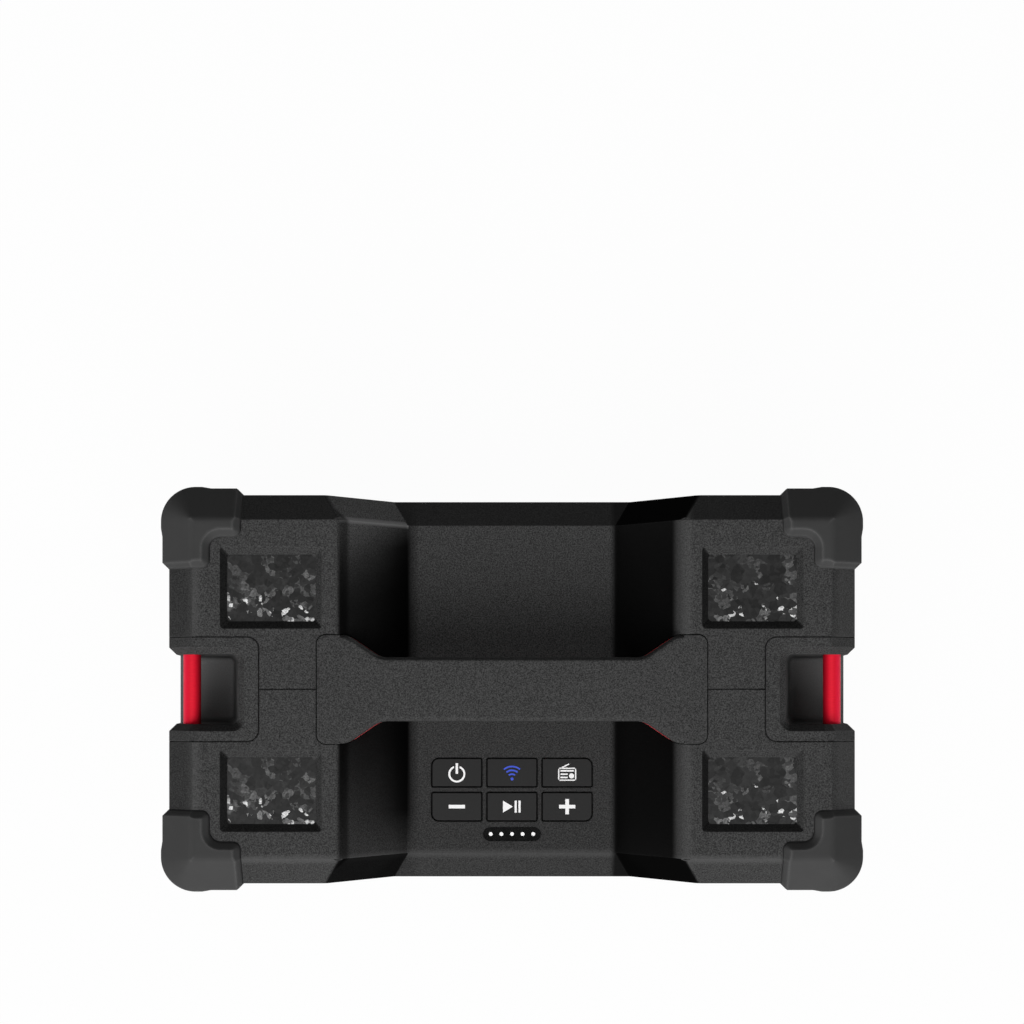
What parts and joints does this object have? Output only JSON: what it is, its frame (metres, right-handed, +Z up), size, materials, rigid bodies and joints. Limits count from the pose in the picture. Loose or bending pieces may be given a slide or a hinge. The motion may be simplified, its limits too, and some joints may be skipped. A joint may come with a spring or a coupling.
{
  "type": "bluetooth speaker",
  "caption": "Rugged portable speaker with raised ends, a carrying handle between them, rubber corner guards, strap bars in side notches and push buttons on its deck.",
  "frame": {"origin": "on the ground under the middle of the housing, which stands on its lower corner guards", "axes": "+X to the right side, +Y to the back, +Z up; the grille faces -Y"},
  "size_m": [0.34, 0.196, 0.212],
  "materials": {
    "housing_plastic": "fine moulded grain, charcoal",
    "red_plastic": "smooth, deep red",
    "red_anodised_aluminium": "turned and anodised red",
    "guard_rubber": "smooth matt, dark grey",
    "flake_inlay": "pressed dark flakes under clear resin",
    "key_rubber": "fine matt with printed white marks",
    "smoked_lens": "smoked, polished",
    "light_resin": "milky, lit",
    "circuit_board": "green solder mask",
    "switch_plastic": "black",
    "grille_steel": "black powder coat",
    "screw_steel": "black zinc",
    "basket_steel": "black paint",
    "ferrite": "dull dark ceramic",
    "yoke_steel": "zinc plated",
    "cone_paper": "coated black paper",
    "coil_copper": "enamelled copper wire",
    "surround_rubber": "soft black",
    "spider_cloth": "resin-dipped cloth",
    "frame_plastic": "black",
    "radiator_metal": "dark anodised",
    "cover_plastic": "soft-touch",
    "socket_steel": "pressed",
    "battery_wrap": "blue shrink wrap",
    "copper_foil": "foil on film"
  },
  "bodies": {
    "housing": {"front_shell": "housing_plastic", "rear_shell": "housing_plastic", "handle_cap": "housing_plastic", "strap_bezel_left": "housing_plastic", "strap_bezel_right": "housing_plastic", "handle_core": "red_plastic", "strap_bar_left": "red_anodised_aluminium", "strap_bar_right": "red_anodised_aluminium", "bumper_top_front_left": "guard_rubber", "bumper_top_front_right": "guard_rubber", "bumper_top_rear_left": "guard_rubber", "bumper_top_rear_right": "guard_rubber", "bumper_bottom_front_left": "guard_rubber", "bumper_bottom_front_right": "guard_rubber", "bumper_bottom_rear_left": "guard_rubber", "bumper_bottom_rear_right": "guard_rubber", "window_inlay_front_left": "flake_inlay", "window_inlay_front_right": "flake_inlay", "window_inlay_rear_left": "flake_inlay", "window_inlay_rear_right": "flake_inlay", "led_window": "smoked_lens", "battery_leds": "light_resin", "key_board": "circuit_board", "main_board": "circuit_board", "key_switches": "switch_plastic", "speaker_grille": "grille_steel", "shell_screws": "screw_steel", "handle_screws": "screw_steel", "woofer_screws": "screw_steel", "port_hinge_pin": "screw_steel", "woofer_frame_left": "basket_steel", "woofer_frame_right": "basket_steel", "woofer_magnet_left": "ferrite", "woofer_magnet_right": "ferrite", "woofer_yoke_left": "yoke_steel", "woofer_yoke_right": "yoke_steel", "woofer_surround_left": "surround_rubber", "woofer_surround_right": "surround_rubber", "passive_surround": "surround_rubber", "woofer_spider_left": "spider_cloth", "woofer_spider_right": "spider_cloth", "passive_frame": "frame_plastic", "port_panel": "frame_plastic", "aux_socket": "frame_plastic", "charge_socket": "socket_steel", "battery_pack": "battery_wrap", "fm_antenna": "copper_foil"},
    "power_button": {"power_button": "key_rubber"},
    "pairing_button": {"pairing_button": "key_rubber"},
    "radio_button": {"radio_button": "key_rubber"},
    "volume_down_button": {"volume_down_button": "key_rubber"},
    "play_pause_button": {"play_pause_button": "key_rubber"},
    "volume_up_button": {"volume_up_button": "key_rubber"},
    "woofer_cone_left": {"woofer_cone_left": "cone_paper", "woofer_voice_coil_left": "coil_copper"},
    "woofer_cone_right": {"woofer_cone_right": "cone_paper", "woofer_voice_coil_right": "coil_copper"},
    "passive_cone": {"passive_cone": "radiator_metal"},
    "port_cover": {"port_cover": "cover_plastic"}
  },
  "joints": [
    {"name": "power_press", "type": "slide", "parent": "housing", "child": "power_button", "axis": [0, 0, -1], "range_m": [0, 0.0008], "stiffness_N_per_m": 150, "springref_m": -0.0005},
    {"name": "pairing_press", "type": "slide", "parent": "housing", "child": "pairing_button", "axis": [0, 0, -1], "range_m": [0, 0.0008], "stiffness_N_per_m": 150, "springref_m": -0.0005},
    {"name": "radio_press", "type": "slide", "parent": "housing", "child": "radio_button", "axis": [0, 0, -1], "range_m": [0, 0.0008], "stiffness_N_per_m": 150, "springref_m": -0.0005},
    {"name": "volume_down_press", "type": "slide", "parent": "housing", "child": "volume_down_button", "axis": [0, 0, -1], "range_m": [0, 0.0008], "stiffness_N_per_m": 150, "springref_m": -0.0005},
    {"name": "play_pause_press", "type": "slide", "parent": "housing", "child": "play_pause_button", "axis": [0, 0, -1], "range_m": [0, 0.0008], "stiffness_N_per_m": 150, "springref_m": -0.0005},
    {"name": "volume_up_press", "type": "slide", "parent": "housing", "child": "volume_up_button", "axis": [0, 0, -1], "range_m": [0, 0.0008], "stiffness_N_per_m": 150, "springref_m": -0.0005},
    {"name": "woofer_stroke_left", "type": "slide", "parent": "housing", "child": "woofer_cone_left", "axis": [0, -1, 0], "range_m": [-0.003, 0.003], "stiffness_N_per_m": 500, "deforming": ["woofer_surround_left", "woofer_spider_left"]},
    {"name": "woofer_stroke_right", "type": "slide", "parent": "housing", "child": "woofer_cone_right", "axis": [0, -1, 0], "range_m": [-0.003, 0.003], "stiffness_N_per_m": 500, "deforming": ["woofer_surround_right", "woofer_spider_right"]},
    {"name": "passive_stroke", "type": "slide", "parent": "housing", "child": "passive_cone", "axis": [0, 1, 0], "range_m": [-0.003, 0.003], "stiffness_N_per_m": 500, "deforming": ["passive_surround"]},
    {"name": "port_cover_hinge", "type": "hinge", "parent": "housing", "child": "port_cover", "pos_m": [0.1, 0.0917, 0.0802], "axis": [1, 0, 0], "range_deg": [0, 100]}
  ]
}
